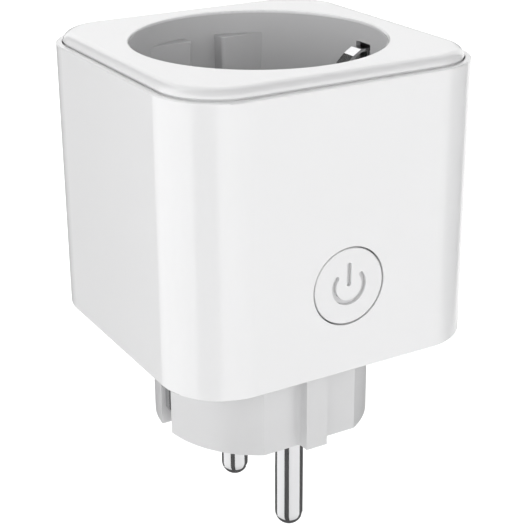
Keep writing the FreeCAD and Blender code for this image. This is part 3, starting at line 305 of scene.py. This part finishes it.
def cloth(name, grey, weave):
    """Matt studio surface with a slight unevenness."""
    material, tree, shader = new_material(name)
    mottle = noise(tree, weave, 2.0)
    colour = (grey, grey, grey)
    shade = tint(tree, mottle, darker(colour, 0.97), colour)
    tree.links.new(shade, shader.inputs["Base Color"])
    shader.inputs["Roughness"].default_value = 0.9
    shader.inputs["Specular IOR Level"].default_value = 0.0
    return material


def make_floor():
    """Plain pale floor, well below the plug."""
    half = 6.0
    corners = [(x * half, y * half, FLOOR_LEVEL) for x, y in ((-1, -1), (1, -1), (1, 1), (-1, 1))]
    make_card("floor", corners, cloth("Floor", 0.93, 6.0), in_picture=True)


def outward(azimuth, distance, height=0.0):
    """Point at an azimuth, distance and height from the plug."""
    turn = math.radians(azimuth)
    return Vector((math.cos(turn) * distance, math.sin(turn) * distance, height))


def standing_card(name, start, end, bottom, top, material):
    """Upright card between two azimuths."""
    corners = [outward(start, CARD_DISTANCE, bottom), outward(end, CARD_DISTANCE, bottom),
               outward(end, CARD_DISTANCE, top), outward(start, CARD_DISTANCE, top)]
    return make_card(name, corners, material)


def floor_path(name, start, end, material):
    """Dark path rising from the floor under the plug to the foot of a flag."""
    middle = (start + end) / 2
    near = 0.12
    half_width = 35
    corners = [outward(middle - half_width, near, PATH_LEVEL),
               outward(start, CARD_DISTANCE, FLAG_FOOT),
               outward(end, CARD_DISTANCE, FLAG_FOOT),
               outward(middle + half_width, near, PATH_LEVEL)]
    seen_in_gloss_only(make_card(name, corners, material))


def make_lights():
    """White surroundings with dark flags, which draw the edges of glossy pieces."""
    world = bpy.data.worlds.new("Studio")
    bpy.context.scene.world = world
    world.use_nodes = True
    surround = world.node_tree.nodes["Background"]
    surround.inputs["Color"].default_value = (1, 1, 1, 1)
    surround.inputs["Strength"].default_value = 1.6
    dark = cloth("Flag Cloth", 0.12, 20.0)
    soft = cloth("Soft Flag Cloth", 0.26, 20.0)
    standing_card("flag_left", 95, 124, -0.44, 0.5, dark)
    seen_in_gloss_only(standing_card("flag_left_low", 70, 95, -0.44, 0.05, dark))
    standing_card("flag_front", 202, 240, FLAG_FOOT, 0.0, dark)
    standing_card("flag_right", 321, 373, -0.19, 0.79, soft)
    standing_card("flag_right_low", 335, 401, FLAG_FOOT, -0.19, dark)
    floor_path("path_front", 202, 240, dark)
    floor_path("path_right", 335, 375, dark)
    ahead = outward(VIEW_AZIMUTH, 0.2, MAT_LEVEL)
    mat = [ahead + outward(30 * i, 0.35) for i in range(12)]
    seen_in_gloss_only(make_card("table_mat", mat, dark))
    standing_card("flag_back", 35, 85, 0.02, 0.13, dark)
    outline = ((-0.9, -0.9), (-0.9, 0.3), (0.8, 0.08), (0.8, -0.9))
    canopy = [(x, y, CANOPY_LEVEL) for x, y in outline]
    make_card("canopy", canopy, cloth("Canopy Cloth", 0.08, 20.0))


def make_camera():
    """Camera at the photograph's viewpoint, looking down a little from the front left."""
    lens = bpy.data.cameras.new("Camera")
    lens.sensor_width = 36.0
    lens.lens = 91.01
    lens.shift_y = -0.064
    lens.clip_start = 0.01
    lens.clip_end = 20.0
    camera = bpy.data.objects.new("Camera", lens)
    yaw = math.radians(30.37)
    pitch = math.radians(21.17)
    roll = math.radians(0.29)
    turn = (Matrix.Rotation(-yaw, 4, "Z") @ Matrix.Rotation(math.pi / 2 - pitch, 4, "X")
            @ Matrix.Rotation(-roll, 4, "Z"))
    stand = Matrix.Translation((-0.10321, -0.17745, 0.11147))
    camera.matrix_world = stand @ turn
    bpy.context.scene.collection.objects.link(camera)
    bpy.context.scene.camera = camera


dress_nodes()
make_spring()
make_floor()
make_lights()
make_camera()
bpy.context.scene.view_settings.view_transform = "Standard"
